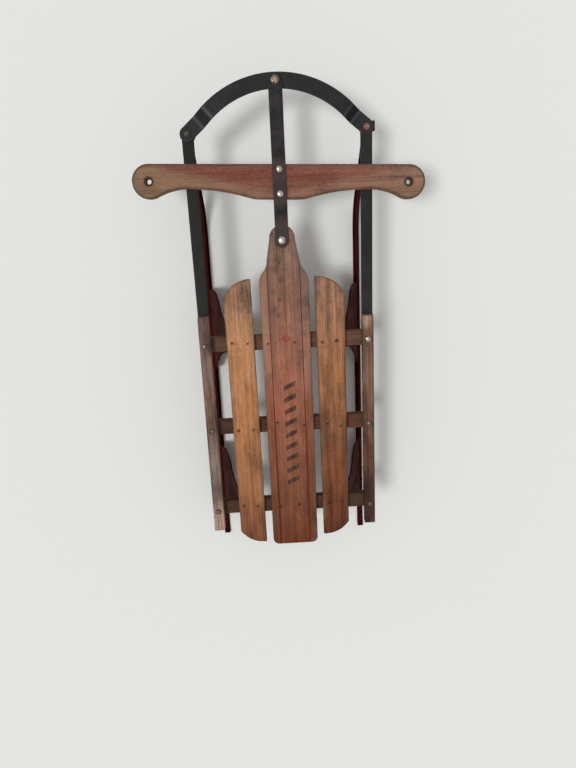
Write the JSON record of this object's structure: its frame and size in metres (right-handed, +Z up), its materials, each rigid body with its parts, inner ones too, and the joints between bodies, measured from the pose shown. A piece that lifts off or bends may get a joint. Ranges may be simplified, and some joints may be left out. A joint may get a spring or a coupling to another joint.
{
  "type": "runner sled",
  "caption": "Child's wooden runner sled with a slatted deck, two steel runners, a steel bow and a steering bar that bends the runners' fronts.",
  "frame": {"origin": "on the floor under the middle of the sled's length, between the runners", "axes": "+X to the front (the bow), +Y to the left, +Z up"},
  "size_m": [0.89, 0.4922, 0.1523],
  "materials": {
    "varnished_wood": "old varnish, worn",
    "weathered_wood": "bare and weathered",
    "rough_wood": "dark, dusty",
    "painted_wood": "worn, with faded red paint",
    "black_steel": "black enamel, satin, rusty at edges",
    "maroon_steel": "dark red enamel, worn",
    "rivet_steel": "dull zinc with rust"
  },
  "bodies": {
    "frame": {"centre_board": "varnished_wood", "left_slat": "varnished_wood", "right_slat": "varnished_wood", "left_rail": "weathered_wood", "right_rail": "weathered_wood", "front_crosspiece": "rough_wood", "middle_crosspiece": "rough_wood", "rear_crosspiece": "rough_wood", "deck_rivets": "rivet_steel", "left_front_knee": "maroon_steel", "right_front_knee": "maroon_steel", "left_rear_knee": "maroon_steel", "right_rear_knee": "maroon_steel", "left_runner": "maroon_steel", "right_runner": "maroon_steel"},
    "steering_lever": {"steering_strap": "black_steel", "steering_bar": "painted_wood", "bow_rivet": "rivet_steel"},
    "bow_arch": {"bow": "black_steel", "bow_end_rivets": "rivet_steel"},
    "left_bar": {"left_side_bar": "black_steel"},
    "right_bar": {"right_side_bar": "black_steel"},
    "left_nose": {"left_runner_nose": "maroon_steel"},
    "right_nose": {"right_runner_nose": "maroon_steel"}
  },
  "joints": [
    {"name": "steering", "type": "hinge", "parent": "frame", "child": "steering_lever", "pos_m": [0.18, 0, 0.136], "axis": [0, 0, 1], "range_deg": [-7, 7], "stiffness_Nm_per_rad": 60},
    {"name": "bow_turn", "type": "hinge", "parent": "steering_lever", "child": "bow_arch", "pos_m": [0.4325, 0, 0.14], "axis": [0, 0, 1], "range_deg": [-7.2, 7.2]},
    {"name": "left_bar_swing", "type": "hinge", "parent": "frame", "child": "left_bar", "pos_m": [0, 0.1475, 0.1268], "axis": [0, 0, 1], "range_deg": [-5.2, 5.2]},
    {"name": "right_bar_swing", "type": "hinge", "parent": "frame", "child": "right_bar", "pos_m": [0, -0.1475, 0.1268], "axis": [0, 0, 1], "range_deg": [-5.2, 5.2]},
    {"name": "left_runner_bend", "type": "hinge", "parent": "frame", "child": "left_nose", "pos_m": [0.102, 0.1475, 0.01], "axis": [0, 0, 1], "range_deg": [-7.2, 7.2]},
    {"name": "right_runner_bend", "type": "hinge", "parent": "frame", "child": "right_nose", "pos_m": [0.102, -0.1475, 0.01], "axis": [0, 0, 1], "range_deg": [-7.2, 7.2]}
  ],
  "couplings": [
    {"joint": "bow_turn", "follows": "steering", "ratio": -1},
    {"joint": "left_bar_swing", "follows": "steering", "ratio": 0.7048},
    {"joint": "right_bar_swing", "follows": "steering", "ratio": 0.7048},
    {"joint": "left_runner_bend", "follows": "steering", "ratio": 0.9854},
    {"joint": "right_runner_bend", "follows": "steering", "ratio": 0.9854}
  ]
}
